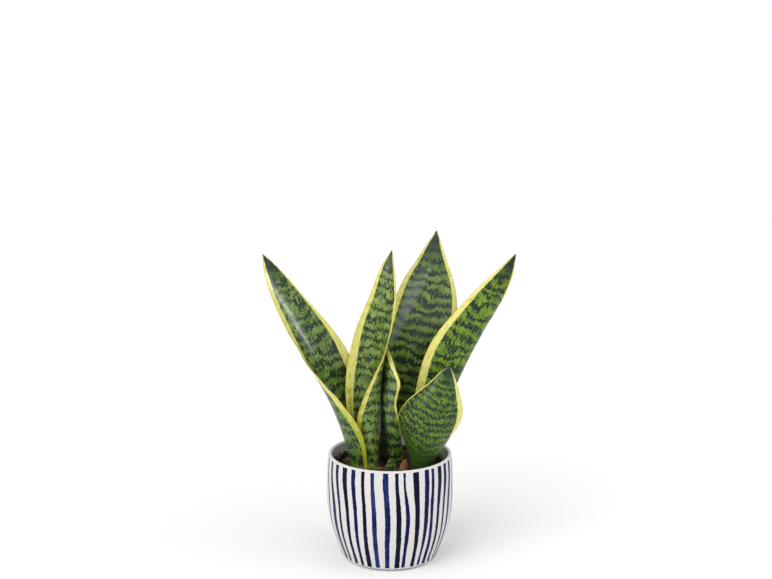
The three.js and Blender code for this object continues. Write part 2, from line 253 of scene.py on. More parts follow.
# %% The ceramic pot's profile
WALL = 4
FOOT_EDGE = (40, 0)
FOOT_BEND = (50.5, 6)
BELLY = (65, 69)
NECK = (63.3, 109)
LIP_STEPS = 12
outside = curve_points([FOOT_EDGE, (48.5, 0.5), FOOT_BEND], 8)
outside += curve_points([FOOT_BEND, (55, 20), (65, 39), BELLY], 40)
outside += curve_points([BELLY, (65, 95), NECK], 24)
lip = []
for i in range(1, LIP_STEPS + 1):
    angle = math.pi * i / LIP_STEPS
    lip.append((NECK[0] + WALL / 2 * (math.cos(angle) - 1), NECK[1] + WALL / 2 * math.sin(angle)))
inner_neck = (NECK[0] - WALL, NECK[1])
inner_belly = (BELLY[0] - WALL, BELLY[1])
inside = curve_points([inner_neck, (61, 95), inner_belly], 12)
inside += curve_points([inner_belly, (61, 39), (51, 20), (46.5, 12)], 16)
inside += curve_points([(46.5, 12), (46, 6), (40, 6)], 5)
underside = [(4, 0), (20, 0), (39, 0), FOOT_EDGE]
floor_top = [(39, 6), (20, 6), (4, 6)]
pot = grow_rings(underside + outside + lip + inside + floor_top, 360)
select_only(pot)
bpy.ops.object.shade_smooth_by_angle(angle=math.radians(40))

# %% [markdown]
# No two brush strokes are alike. Each front stripe below is given by the direction of its top,
# middle and bottom, counted from straight in front, its width at the same three levels and how
# much colour the brush held. Round the back the painter went on in the same way, so there the
# strokes follow one another at about the same spacing with a seeded wobble.

# %% Brush strokes round the pot
# top, middle and bottom direction in degrees; top, middle and bottom width in mm; tone 0 to 1
STROKES = [
    (-86, -82, -82, 4.5, 4.0, 3.5, 0.5), (-76, -71, -72, 4.0, 4.0, 4.0, 0.3),
    (-66, -60, -61, 4.5, 6.0, 6.0, 0.6), (-56, -51, -52, 5.0, 3.5, 3.5, 0.5),
    (-45, -41, -42, 6.5, 4.5, 4.0, 0.1), (-35, -32, -33, 5.0, 4.0, 3.5, 0.6),
    (-25, -23, -24, 3.5, 4.0, 5.0, 0.0), (-16, -14, -14, 4.0, 5.0, 4.5, 1.0),
    (-4, -2, -3, 5.5, 5.5, 4.5, 0.8), (6, 8, 8, 3.5, 5.0, 5.0, 0.0),
    (13, 16, 15, 2.5, 4.5, 3.5, 0.6), (24, 25, 26, 6.5, 5.0, 4.0, 0.0),
    (35, 34, 34, 5.5, 5.0, 3.0, 0.6), (42, 40, 42, 4.0, 4.0, 4.5, 0.7),
    (51, 48, 50, 6.0, 4.0, 3.5, 0.2), (60, 56, 59, 5.5, 3.5, 3.0, 0.6),
    (69, 65, 67, 5.5, 5.0, 5.0, 0.6), (79, 75, 77, 4.0, 4.0, 3.5, 0.4),
]
brush = random.Random(7)
BACK_FROM = 88
BACK_TO = 268
direction = BACK_FROM
while direction < BACK_TO:
    middle = direction + brush.uniform(-2.5, 1)
    widths = [brush.uniform(3, 6.2) for _ in range(3)]
    bottom = direction + brush.uniform(-2, 2)
    STROKES.append((direction, middle, bottom, *widths, brush.random()))
    direction += brush.uniform(8.5, 11.5)
print(len(STROKES), "brush strokes")

# %% Paint at each point of the pot
LEVELS = (102, 60, 16)
UNPAINTED = (99.0, 0.0, 0.0)


def at_level(three, height):
    """Eases between the values that belong to the three levels."""
    top, middle, bottom = three
    upper, centre, lower = LEVELS
    if height >= centre:
        end, share = top, min((height - centre) / (upper - centre), 1)
    else:
        end, share = bottom, min((centre - height) / (centre - lower), 1)
    return middle + (end - middle) * share * share * (3 - 2 * share)


def is_outside(radius, height):
    """True on the outer face, and not on the inner one, a wall's thickness further in."""
    return any(abs(radius - r) < WALL / 4 and abs(height - z) < 2 for r, z in outside)


paint = []
for vertex in pot.data.vertices:
    x, y, z = vertex.co / MM
    around = math.degrees(math.atan2(x, -y))
    radius = math.hypot(x, y)
    nearest = UNPAINTED
    if is_outside(radius, z):
        for stroke in STROKES:
            middle = at_level(stroke[:3], z)
            turn = (around - middle + 180) % 360 - 180
            away = abs(math.radians(turn)) * radius
            half = at_level(stroke[3:6], z) / 2
            if away - half < nearest[0] - nearest[1]:
                nearest = (away, half, stroke[6])
    paint += nearest
pot.data.attributes.new("paint", "FLOAT_VECTOR", "POINT").data.foreach_set("vector", paint)
finish_piece(pot, "glazed_pot", painted_glaze(), "glazed_pot", "ceramic_pot")

# %% [markdown]
# The nursery pot is a thin black blow-moulded cup with a band round its rim and holes in its
# floor. It shows only as a dark line inside the ceramic rim. It is grown from rings like the
# ceramic pot, and the drain holes are cut by cylinders with a boolean modifier.

# %% Nursery pot
def dull_plastic():
    material, tree, shader = new_finish("dull black plastic", Roughness=0.5)
    place = put(tree, "TexCoord").outputs["Object"]
    dust = ramp(tree, cloud(tree, place, (400, 400, 400), 4, 0.7), 0.45, 0.75)
    colour = blend(tree, dust, (0.012, 0.013, 0.015, 1), (0.05, 0.045, 0.04, 1))
    tree.links.new(colour, shader.inputs["Base Color"])
    grain = cloud(tree, place, (1500, 1500, 1500), 2)
    relief_into(tree, shader, grain, 0.0001)
    return material


# radius and height of each ring in mm
nursery_profile = [
    (2, 6.3), (30, 6.3), (37.5, 6.3), (38.5, 7.3), (54.4, 94.4), (55.2, 95), (56.4, 95), (56.8, 95.4),
    (56.8, 100.5), (56.3, 101), (54.3, 101), (53.8, 100.5), (53.8, 95.5), (53.6, 94.4), (37.4, 7.8),
    (36.8, 7.5), (30, 7.5), (2, 7.5),
]
nursery = grow_rings(nursery_profile, 96)
DRAINS = 6
DRAIN_RING = 0.023
DRAIN_HEIGHT = 0.007
for i in range(DRAINS):
    angle = math.tau * i / DRAINS
    clear_selection()
    spot = (DRAIN_RING * math.cos(angle), DRAIN_RING * math.sin(angle), DRAIN_HEIGHT)
    bpy.ops.mesh.primitive_cylinder_add(vertices=24, radius=0.004, depth=0.005, location=spot)
    drill = bpy.context.object
    cut = nursery.modifiers.new("drain", "BOOLEAN")
    cut.object = drill
    cut.operation = "DIFFERENCE"
    apply_modifiers(nursery)
    bpy.data.objects.remove(drill)
select_only(nursery)
bpy.ops.object.shade_smooth_by_angle(angle=math.radians(30))
finish_piece(nursery, "black_nursery_pot", dull_plastic(), "black_plastic", "nursery_pot")

# %% [markdown]
# A snake plant's leaf is a thick stiff blade, folded like a gutter. Its green has ragged dark
# cross-bands, and its margins are yellow. To shape one, a flat grid is laid along a curved
# midrib, and each half, or wing, is rolled up towards the hollow side by its own angle. The
# rows say, at a share of the length: which way the hollow faces, the two half widths, the two
# curls in degrees and how tightly they fold at the midrib. They are those of the CAD leaves,
# but for the left wings of the tall leaf and the right leaf. Those are a few millimetres wider
# in places.

# %% Leaf shapes
SOIL_TOP = 98
LEAVES = {
    "leaf_left": ([(-37, -10, -6), (-47, -8, 48), (-76, -2, 133), (-127, 0, 219)], [
        (0.00, 0, 19, 19, 115, 100, 1.3), (0.20, -8, 28, 28, 108, 85, 1.3),
        (0.40, -28, 30, 36, 88, 50, 1.2), (0.60, -50, 27, 31, 60, 48, 1.2),
        (0.80, -60, 22, 16, 45, 45, 1.2), (0.93, -65, 11, 7, 30, 30, 1),
        (1.00, -65, 0.5, 0.5, 20, 20, 1)]),
    "leaf_centre_left": ([(-14, -10, -6), (-10, -11, 58), (-15, -8, 148), (2, 0, 223)], [
        (0.00, 180, 11, 11, 110, 110, 1.5), (0.20, 184, 32, 25, 110, 112, 2.6),
        (0.40, 205, 38, 28, 85, 90, 1.8), (0.60, 222, 31, 25, 50, 50, 1.3),
        (0.80, 240, 15, 17, 40, 30, 1), (0.93, 245, 7, 7, 30, 20, 1),
        (1.00, 245, 0.5, 0.5, 20, 20, 1)]),
    "leaf_tall": ([(-7, 13, -6), (-20, 14, 48), (34, 34, 118), (47, 18, 240)], [
        (0.00, -20, 36, 16, 180, 110, 1), (0.20, -40, 46, 24, 196, 80, 0.8),
        (0.38, -60, 54, 30, 190, 60, 0.6), (0.49, -66, 68, 34, 215, 50, 0.5),
        (0.56, -72, 60, 41, 165, 46, 0.55), (0.64, -78, 42, 44, 80, 38, 0.8),
        (0.82, -85, 30, 33, 35, 30, 1), (0.94, -85, 12, 11, 25, 25, 1),
        (1.00, -85, 0.5, 0.5, 20, 20, 1)]),
    "leaf_right": ([(31, 2, -6), (44, 6, 48), (71, 0, 123), (125, -4, 220)], [
        (0.00, 150, 14, 12, 100, 100, 1), (0.20, 135, 24, 20, 95, 70, 1),
        (0.40, 120, 27, 31, 105, 40, 1), (0.60, 112, 25, 35, 100, 35, 1),
        (0.80, 105, 19, 21, 62, 35, 1), (0.93, 95, 10, 8, 30, 30, 1),
        (1.00, 95, 0.5, 0.5, 20, 20, 1)]),
    "leaf_small_front": ([(30, -21, -6), (37, -34, 28), (48, -40, 68), (59, -28, 111)], [
        (0.00, 95, 14, 14, 120, 120, 1), (0.20, 95, 23, 28, 90, 90, 1),
        (0.45, 95, 34, 42, 70, 66, 1), (0.65, 95, 32, 35, 50, 58, 1),
        (0.85, 95, 17, 16, 40, 50, 1), (0.95, 95, 7, 7, 30, 30, 1),
        (1.00, 95, 0.5, 0.5, 20, 20, 1)]),
}
SCALE_LEAVES = {
    "green_scale_leaf": ([(1, -15, -6), (1, -16, 0), (1, -16, 5), (0, -15, 11)], [
        (0.00, 90, 8, 8, 60, 60, 1), (0.50, 90, 6, 6, 50, 50, 1), (1.00, 90, 0.5, 0.5, 20, 20, 1)]),
    "dry_scale_leaf": ([(13, -18, -6), (13, -19, 0), (14, -20, 6), (16, -21, 12)], [
        (0.00, 100, 6, 4, 60, 60, 1), (0.50, 100, 6, 4, 50, 50, 1), (1.00, 100, 1.5, 1.5, 20, 20, 1)]),
}


def column_at(rows, column, share):
    """A smooth curve through one column of a table whose first column is the share."""
    last = len(rows) - 1
    i = 0
    while i < last - 1 and share >= rows[i + 1][0]:
        i += 1

    def slope(k):
        before, after = max(k - 1, 0), min(k + 1, last)
        return (rows[after][column] - rows[before][column]) / (rows[after][0] - rows[before][0])

    span = rows[i + 1][0] - rows[i][0]
    s = min(max((share - rows[i][0]) / span, 0), 1)
    answer = (2 * s**3 - 3 * s**2 + 1) * rows[i][column] + (s**3 - 2 * s**2 + s) * span * slope(i)
    return answer + (3 * s**2 - 2 * s**3) * rows[i + 1][column] + (s**3 - s**2) * span * slope(i + 1)


# %% [markdown]
# Each wing's section is a curl that gets tighter towards the midrib. Walking along it in small
# steps and adding up where each step leads gives its points, the way a strip of paper is bent.

# %% Roll a wing and place a point of a leaf
FINE_STEPS = 6


def wing_points(width, curl, fold, steps):
    points = [(0.0, 0.0, 0.0)]
    out = up = 0.0
    for j in range(1, steps + 1):
        for k in range(FINE_STEPS):
            s = (j - 1 + (k + 0.5) / FINE_STEPS) / steps
            angle = curl * (1 - (1 - s) ** fold)
            out += math.cos(angle) * width / (steps * FINE_STEPS)
            up += math.sin(angle) * width / (steps * FINE_STEPS)
        points.append((out, up, curl * (1 - (1 - j / steps) ** fold)))
    return points


def on_midrib(midrib, share):
    """The point and the direction of a four-handled curve at a share of its length."""
    a, b, c, d = (Vector((x, y, z + SOIL_TOP)) for x, y, z in midrib)
    rest = 1 - share
    point = a * rest**3 + 3 * rest**2 * share * b + 3 * rest * share**2 * c + share**3 * d
    along = rest**2 * (b - a) + 2 * rest * share * (c - b) + share**2 * (d - c)
    return point, along.normalized()


# %% [markdown]
# A grid primitive is the flat blade. Its rows become stations along the midrib and its columns
# the steps across the wings. Two attributes go with it for the paint: where each point is on
# the flat blade in millimetres, and how wide the yellow margin is there. Solidify gives the
# blade its thickness, thinner at the margins, and one Subdivision Surface rounds it off.

# %% Make a leaf
LEAF_THICKNESS = 3.0
LEAF_EDGE = 0.8
TIP_SHARE = 0.65


def make_leaf(name, midrib, rows, bands, across=16, along=110, thick=LEAF_THICKNESS,
              edge_thick=LEAF_EDGE):
    clear_selection()
    bpy.ops.mesh.primitive_grid_add(x_subdivisions=2 * across, y_subdivisions=along, size=2)
    blade = bpy.context.object
    mesh = blade.data
    spots = [(round(v.co.x * across), round((v.co.y + 1) / 2 * along)) for v in mesh.vertices]
    group = blade.vertex_groups.new(name="thickness")
    length = 0.0
    stations = []
    before = None
    for i in range(along + 1):
        share = i / along
        centre, heading = on_midrib(midrib, share)
        length += (centre - before).length if before else 0.0
        before = centre
        at = [column_at(rows, column, share) for column in range(1, 7)]
        facing = math.radians(at[0])
        hollow = Vector((math.cos(facing), math.sin(facing), 0))
        hollow = (hollow - hollow.dot(heading) * heading).normalized()
        right = heading.cross(hollow)
        wings = {side: wing_points(width, math.radians(curl), at[5], across)
                 for side, width, curl in ((-1, at[1], at[3]), (1, at[2], at[4]))}
        stations.append((centre, hollow, right, wings, at[1:3], length, share))
    seed = len(name) * 7.3
    flat, margin = [], []
    for vertex, (column, row) in zip(mesh.vertices, spots):
        centre, hollow, right, wings, widths, reach, share = stations[row]
        side = -1 if column < 0 else 1
        step = abs(column)
        out, up, slope = wings[side][step]
        width = max(widths[0 if side < 0 else 1], 0.3)
        outward = step / across
        normal = math.cos(slope) * hollow - side * math.sin(slope) * right
        # the margin waves gently: a slow cloud and a quick one, dying away inwards and at the foot
        slow = noise.noise(Vector((reach / 19, side * 5, seed)))
        quick = noise.noise(Vector((reach / 7, side * 9, seed)))
        wave = (1.1 * slow + 0.3 * quick) * min(width / 10, 1) * min(reach / 30, 1)
        place = centre + side * out * right + up * hollow + wave * outward**3 * normal
        vertex.co = place * MM
        flat += (side * outward * width, reach, (1 - outward) * width)
        margin += (column_at(bands, 1 if side < 0 else 2, share), share, side)
        taper = 1 - (1 - TIP_SHARE) * share
        edge = outward**2
        group.add([vertex.index], (thick * (1 - edge) + edge_thick * edge) * taper / thick, "REPLACE")
    for label, values in (("flat", flat), ("margin", margin)):
        mesh.attributes.new(label, "FLOAT_VECTOR", "POINT").data.foreach_set("vector", values)
    wall = blade.modifiers.new("thickness", "SOLIDIFY")
    wall.thickness = thick * MM
    wall.offset = 0
    wall.vertex_group = "thickness"
    wall.use_quality_normals = True
    smooth = blade.modifiers.new("round off", "SUBSURF")
    smooth.levels = smooth.render_levels = 1
    apply_modifiers(blade)
    bpy.ops.object.shade_smooth()
    print(name, "is %.0f mm long" % length)
    return blade


# %% [markdown]
# The paint of a leaf: dark bands are a wave along the blade, pushed about by clouds that are
# narrow across and long lengthwise, which tears their edges into upright teeth. The margins are
# yellow as far in as the blade says, greener low down, with a golden line at the very edge. Fine
# ridges run lengthwise. The surface is waxy: a clear sheen over a slightly rough skin.

# %% Shared group: torn cross-bands
def torn_bands():
    group = bpy.data.node_groups.new("torn cross-bands", "ShaderNodeTree")
    face = group.interface
    face.new_socket("Flat", in_out="INPUT", socket_type="NodeSocketVector")
    for label in ("Period", "Smile", "Tear", "Drift", "Lightness"):
        face.new_socket(label, in_out="INPUT", socket_type="NodeSocketFloat")
    face.new_socket("Dark", in_out="OUTPUT", socket_type="NodeSocketFloat")
    face.new_socket("Patch", in_out="OUTPUT", socket_type="NodeSocketFloat")
    start = group.nodes.new("NodeGroupInput")
    end = group.nodes.new("NodeGroupOutput")
    flat, period, smile, tear, drift, lightness = (start.outputs[i] for i in range(6))
    across, along, _ = put(group, "SeparateXYZ", {0: flat}).outputs
    teeth = cloud(group, flat, (0.75, 0.10, 0), 2, 0.6)
    clumps = cloud(group, flat, (0.30, 0.22, 0), 2, 0.6)
    slow = cloud(group, flat, (0.050, 0.045, 0), 1)
    shift = total(
        group, along,
        product(group, across, across, smile, -1),
        product(group, sway(group, teeth, 17), tear),
        product(group, sway(group, clumps, 11), tear),
        product(group, sway(group, slow, 24), drift))
    turns = product(group, reckon(group, "DIVIDE", shift, period), math.tau)
    wave = reckon(group, "SINE", turns)
    speck = sway(group, cloud(group, flat, (0.80, 0.36, 0), 3, 0.65), 3.7)
    level = total(group, wave, speck, sway(group, slow, 1.2), product(group, lightness, -1))
    dark = ramp(group, level, -0.22, 0.26)
    group.links.new(dark, end.inputs[0])
    group.links.new(cloud(group, flat, (0.11, 0.075, 0), 3, 0.6), end.inputs[1])
    return group


bands_group = torn_bands()

# %% Leaf finish
GOLD = (0.58, 0.46, 0.05, 1)
CREAM = (0.80, 0.75, 0.22, 1)
LIME = (0.43, 0.47, 0.02, 1)
DEEP = (0.035, 0.085, 0.014, 1)
# the colour of a painted highlight on the tall leaf
HIGHLIGHT_SILVER = (0.20, 0.24, 0.25, 1)
SHADE = (0.003, 0.006, 0.003, 1)
LIGHT_GREEN = (0.24, 0.33, 0.065, 1)
MID_GREEN = (0.105, 0.200, 0.022, 1)
BAND_GREEN = (0.009, 0.028, 0.013, 1)


def leaf_skin(name, period, smile=0.0, tear=1.0, drift=1.0, lightness=0.0, light=LIGHT_GREEN,
              mid=MID_GREEN, dark=BAND_GREEN, plain=0.2, sheen=0.3, painted_highlight=0.0, painted_fold_shade=0.0):
    material, tree, shader = new_finish(name, Coat_Roughness=0.26, Specular_IOR_Level=0.2)
    flat = put(tree, "Attribute", attribute_name="flat").outputs["Vector"]
    inward = put(tree, "SeparateXYZ", {0: flat}).outputs[2]
    margin = put(tree, "Attribute", attribute_name="margin").outputs["Vector"]
    band, share, side = put(tree, "SeparateXYZ", {0: margin}).outputs
    bands = put(tree, "Group", {0: flat}, node_tree=bands_group)
    for i, value in enumerate((period, smile, tear, drift, lightness), 1):
        bands.inputs[i].default_value = value
    stripe, patch = bands.outputs
    stripe = reckon(tree, "MAXIMUM", stripe, ramp(tree, share, 0.84, 0.99))
    green = blend(tree, ramp(tree, patch, 0.35, 0.65), mid, light)
    green = blend(tree, stripe, green, dark)
    low = ramp(tree, share, 0.50, 0.14)
    # towards the foot the green turns darker and plainer, by as much as plain says
    green = blend(tree, product(tree, low, plain), green, DEEP)
    # a painted silvery highlight along the middle of the left wing,
    # and painted shade in a deep fold lower down
    left = ramp(tree, side, 0.2, -0.2)
    reach = product(tree, ramp(tree, share, 0.58, 0.64), ramp(tree, share, 0.95, 0.75), painted_highlight)
    highlight_mask = product(tree, ramp(tree, inward, 10, 15), ramp(tree, inward, 30, 20), left, reach)
    green = blend(tree, highlight_mask, green, HIGHLIGHT_SILVER)
    # painted shade: the left wing goes almost black where it turns away into the deep fold
    reach = product(tree, ramp(tree, share, 0.60, 0.50), painted_fold_shade)
    fold = product(tree, ramp(tree, inward, 12, 18), ramp(tree, inward, 30, 22), left, reach)
    green = blend(tree, fold, green, SHADE)
    # the yellow margin, with an edge frayed lengthwise
    streak = cloud(tree, flat, (1.1, 0.035, 0), 2, 0.6)
    fleck = cloud(tree, flat, (0.35, 0.10, 0), 3, 0.7)
    wander = total(tree, sway(tree, streak, 1.6), sway(tree, fleck, 1.4))
    rim = ramp(tree, total(tree, band, wander, product(tree, inward, -1)), -0.2, 0.35)
    lime = total(tree, product(tree, stripe, 0.30),
                 product(tree, ramp(tree, fleck, 0.42, 0.62), 0.55), product(tree, low, 0.95), -0.28)
    yellow = blend(tree, ramp(tree, lime, 0.0, 0.9), CREAM, LIME)
    yellow = blend(tree, ramp(tree, inward, 0.75, 0.25), yellow, GOLD)
    colour = blend(tree, rim, green, yellow)
    near_margin = ramp(tree, total(tree, inward, product(tree, band, -1)), 7, 1)
    thread = product(tree, ramp(tree, streak, 0.66, 0.74), near_margin, low)
    colour = blend(tree, thread, colour, LIME)
    tree.links.new(colour, shader.inputs["Base Color"])
    # wax and fine ridges
    wax = cloud(tree, flat, (0.5, 0.06, 0), 3, 0.6)
    tree.links.new(total(tree, 0.36, sway(tree, wax, 0.16)), shader.inputs["Roughness"])
    tree.links.new(total(tree, sheen, sway(tree, wax, sheen)), shader.inputs["Coat Weight"])
    ridges = product(tree, cloud(tree, flat, (0.55, 0.012, 0), 2), 0.8)
    pores = product(tree, cloud(tree, flat, (1.6, 0.9, 0), 2), 0.14)
    relief_into(tree, shader, total(tree, ridges, product(tree, stripe, -0.12), pores), 0.0006)
    return material


# %% [markdown]
# The widths of the yellow margins differ from wing to wing and along each leaf, so each leaf
# has its own short table: the share of the length, the left margin and the right margin in mm.

# %% The five leaves
MARGINS = {
    "leaf_left": [
        (0, 3, 3), (0.25, 6, 6), (0.5, 7, 9), (0.75, 8, 2.5), (0.93, 4, 0.8), (1, 0.2, 0.1)],
    "leaf_centre_left": [
        (0, 3, 3.5), (0.25, 7, 5), (0.5, 9, 4.5), (0.75, 5, 3.5), (0.93, 2, 1.5), (1, 0.2, 0.2)],
    "leaf_tall": [
        (0, 2, 3), (0.25, 2, 5), (0.42, 3, 6), (0.52, 5, 6), (0.62, 9, 6), (0.75, 9, 6),
        (0.93, 3, 3), (1, 0.2, 0.2)],
    "leaf_right": [
        (0, 3, 4), (0.25, 3.5, 7.5), (0.5, 4, 8.5), (0.75, 3.5, 6), (0.93, 2, 2.5), (1, 0.2, 0.2)],
    "leaf_small_front": [
        (0, 4, 1.5), (0.25, 7, 1.5), (0.5, 11, 1.3), (0.75, 8, 2), (0.93, 2.5, 1.2), (1, 0.1, 0.1)],
}
# the numbers after the name are the bands' period in mm, smile, tear, drift and lightness
SKINS = {
    "leaf_left": leaf_skin(
        "left leaf skin", 14, 0.0, 1.4, 1.3, -0.15, light=(0.20, 0.30, 0.05, 1), sheen=0.5),
    "leaf_centre_left": leaf_skin(
        "centre left leaf skin", 10.5, 0.0, 1.0, 0.7, 0.25, light=(0.27, 0.355, 0.085, 1), sheen=0.2),
    # the tall leaf also gets a painted highlight and painted shade in its fold
    "leaf_tall": leaf_skin(
        "tall leaf skin", 11, 0.002, 0.8, 0.7, 0.0, light=(0.21, 0.30, 0.06, 1), sheen=0.7,
        painted_highlight=0.5, painted_fold_shade=0.9),
    "leaf_right": leaf_skin(
        "right leaf skin", 12, 0.0, 1.2, 1.0, 0.0, light=(0.21, 0.33, 0.02, 1), sheen=0.12),
    "leaf_small_front": leaf_skin(
        "small leaf skin", 7.5, 0.010, 0.8, 0.6, 0.0, light=(0.15, 0.245, 0.018, 1),
        mid=(0.075, 0.14, 0.014, 1), plain=0.8, sheen=0.12),
}
for leaf_name, (midrib, rows) in LEAVES.items():
    leaf = make_leaf(leaf_name, midrib, rows, MARGINS[leaf_name])
    finish_piece(leaf, "banded_" + leaf_name, SKINS[leaf_name], "leaf", leaf_name)

# %% [markdown]
# At the foot of the leaves stand a small green scale leaf and a dry papery one. They are made
# like the big leaves, only thinner. The dry one is torn: its vertices are nudged by a cloud.

# %% Scale leaves
def dry_skin():
    material, tree, shader = new_finish("dry papery sheath", Roughness=0.8)
    flat = put(tree, "Attribute", attribute_name="flat").outputs["Vector"]
    fibre = cloud(tree, flat, (3.0, 0.25, 0), 4, 0.7)
    stain = cloud(tree, flat, (0.5, 0.4, 0), 3)
    colour = blend(tree, ramp(tree, fibre, 0.3, 0.7), (0.24, 0.095, 0.028, 1), (0.52, 0.27, 0.095, 1))
    colour = blend(tree, ramp(tree, stain, 0.5, 0.75), colour, (0.075, 0.032, 0.014, 1))
    tree.links.new(colour, shader.inputs["Base Color"])
    relief_into(tree, shader, fibre, 0.0005)
    return material


THIN_MARGIN = [(0, 0.8, 0.8), (0.5, 0.8, 0.8), (1, 0.2, 0.2)]
SHEATH_THICKNESS = 0.9
SHEATH_EDGE = 0.4
for leaf_name, (midrib, rows) in SCALE_LEAVES.items():
    leaf = make_leaf(leaf_name, midrib, rows, THIN_MARGIN, 8, 24, SHEATH_THICKNESS, SHEATH_EDGE)
    if leaf_name == "dry_scale_leaf":
        for vertex in leaf.data.vertices:
            vertex.co += noise.noise_vector(vertex.co / (2.5 * MM)) * 0.7 * MM
        finish_piece(leaf, "papery_sheath", dry_skin(), "dry_sheath", leaf_name)
    else:
        skin = leaf_skin("scale leaf skin", 5, 0.0, 0.5, 0.5, light=(0.13, 0.26, 0.035, 1))
        finish_piece(leaf, "small_green_scale", skin, "scale_leaf_green", leaf_name)

# %% [markdown]
# Potting soil is dark crumbs, bark dust and coir fibres. Its surface is a disc of fine rings
# with two Displace modifiers, one for lumps and one for crumbs. Loose crumbs lie on it: one is
# modelled from a small ball, and its copies, each with its own mesh, are turned, scaled and
# joined to the soil.

# %% Soil body
SOIL_RADIUS = 53.5
SOIL_MOUND = 2
SOIL_EDGE = 95.5
soil_rings = [(1, SOIL_TOP)]
for i in range(2, 54):
    soil_rings.append((i, SOIL_TOP - SOIL_MOUND * (i / SOIL_RADIUS) ** 2))
soil_rings += [(SOIL_RADIUS, SOIL_EDGE), (SOIL_RADIUS - 0.2, 94)]
soil_rings += [(49, 69), (43, 37), (37.1, 8.2), (36, 7.8), (2, 7.8)]
soil = grow_rings(soil_rings, 170)
lumps_area = soil.vertex_groups.new(name="surface")
for vertex in soil.data.vertices:
    radius = math.hypot(vertex.co.x, vertex.co.y) / MM
    if vertex.co.z > SOIL_EDGE * MM:
        lumps_area.add([vertex.index], min(1, max(0.0, (SOIL_RADIUS - radius) / 2)), "REPLACE")
for label, size, height in (("lumps", 9, 2.4), ("crumbs", 2.2, 1.5)):
    texture = bpy.data.textures.new(label, "CLOUDS")
    texture.noise_scale = size * MM
    texture.noise_depth = 2
    push = soil.modifiers.new(label, "DISPLACE")
    push.texture = texture
    push.texture_coords = "LOCAL"
    push.direction = "Z"
    push.mid_level = 0.5
    push.strength = height * MM
    push.vertex_group = "surface"
apply_modifiers(soil)

# %% Helpers for things strewn on the soil
def soil_height(x, y):
    return SOIL_TOP - SOIL_MOUND * (x * x + y * y) / SOIL_RADIUS**2


def random_spot(source, inner=0.0, outer=52.0):
    """A point of the soil's surface, evenly spread between two radii."""
    radius = math.sqrt(source.uniform(inner**2, outer**2))
    angle = source.uniform(0, math.tau)
    return radius * math.cos(angle), radius * math.sin(angle)


def place_copy(piece, spot, turn, size):
    """A copy with its own mesh, at a spot in mm."""
    copy = piece.copy()
    copy.data = piece.data.copy()
    copy.location = [value * MM for value in spot]
    copy.rotation_euler = turn
    copy.scale = size
    bpy.context.collection.objects.link(copy)
    return copy


def join_into(piece, others):
    clear_selection()
    for other in others:
        other.select_set(True)
    piece.select_set(True)
    bpy.context.view_layer.objects.active = piece
    bpy.ops.object.join()


# %% Loose crumbs, joined to the soil
LOOSE = 620
SPILLED = 260
RIM_LEVEL = 100.6
RIM_EDGE = 57
grit = random.Random(11)
clear_selection()
bpy.ops.mesh.primitive_ico_sphere_add(subdivisions=1, radius=MM, location=(0, 0, 0))
crumb = bpy.context.object
bpy.ops.object.mode_set(mode="EDIT")
bpy.ops.mesh.select_all(action="SELECT")
bpy.ops.transform.vertex_random(offset=0.35 * MM, seed=3)
bpy.ops.object.mode_set(mode="OBJECT")
heap = []
for number in range(LOOSE + SPILLED):
    size = grit.uniform(0.35, 1.25)
    if number < LOOSE:
        x, y = random_spot(grit)
        height = soil_height(x, y) + 0.3 * size
    else:
        # spilled over the nursery pot's rim, at the left and in front; some fell down behind it
        radius, angle = grit.uniform(52, 58.6), math.radians(grit.gauss(190, 26))
        x, y = radius * math.cos(angle), radius * math.sin(angle)
        height = RIM_LEVEL + 0.5 * size if radius < RIM_EDGE else grit.uniform(97, 100.5)
    turn = [grit.uniform(0, math.tau) for _ in range(3)]
    flattened = (size, size * grit.uniform(0.5, 1), size * grit.uniform(0.5, 1))
    heap.append(place_copy(crumb, (x, y, height), turn, flattened))
bpy.data.objects.remove(crumb)
join_into(soil, heap)
print(len(heap), "crumbs joined to the soil")


# %% Soil finish
PEAT = (0.006, 0.004, 0.003, 1)
LOAM = (0.045, 0.020, 0.012, 1)
BARK_DUST = (0.075, 0.030, 0.015, 1)
PALE_GRAIN = (0.25, 0.15, 0.08, 1)


def soil_finish():
    material, tree, shader = new_finish("potting soil", Roughness=0.95, Specular_IOR_Level=0.25)
    place = put(tree, "TexCoord").outputs["Object"]
    crumbs = cloud(tree, place, (700, 700, 700), 4, 0.7)
    patches = cloud(tree, place, (120, 120, 120), 2)
    grains = cloud(tree, place, (1600, 1600, 1600), 1)
    colour = blend(tree, ramp(tree, crumbs, 0.35, 0.68), PEAT, LOAM)
    colour = blend(tree, ramp(tree, patches, 0.5, 0.8), colour, BARK_DUST)
    colour = blend(tree, ramp(tree, grains, 0.68, 0.74), colour, PALE_GRAIN)
    tree.links.new(colour, shader.inputs["Base Color"])
    relief_into(tree, shader, crumbs, 0.0012)
    return material


finish_piece(soil, "crumbly_soil", soil_finish(), "soil", "potting_soil")

# %% [markdown]
# Bark chips are flakes split off along the grain. Each starts as a cube of the chip's own size,
# is subdivided, gets its corners knocked off by a bevel and is roughened by a Displace modifier.

# %% Bark chips
# direction and turn in degrees, share of the soil's radius, and length, width and height in mm
CHIPS = [
    (158, 25, 0.84, (8, 5, 4)), (205, 70, 0.86, (6, 4, 3)), (20, -35, 0.86, (7, 5, 3)),
    (350, 15, 0.86, (6, 5, 4)), (95, 50, 0.75, (8, 6, 4)), (268, -10, 0.85, (5, 4, 3)),
]


def bark_finish():
    material, tree, shader = new_finish("bark", Roughness=0.85)
    place = put(tree, "TexCoord").outputs["Object"]
    grain = cloud(tree, place, (1400, 420, 900), 4, 0.7)
    colour = blend(tree, ramp(tree, grain, 0.3, 0.7), (0.060, 0.022, 0.010, 1), (0.36, 0.15, 0.055, 1))
    tree.links.new(colour, shader.inputs["Base Color"])
    relief_into(tree, shader, grain, 0.0006)
    return material


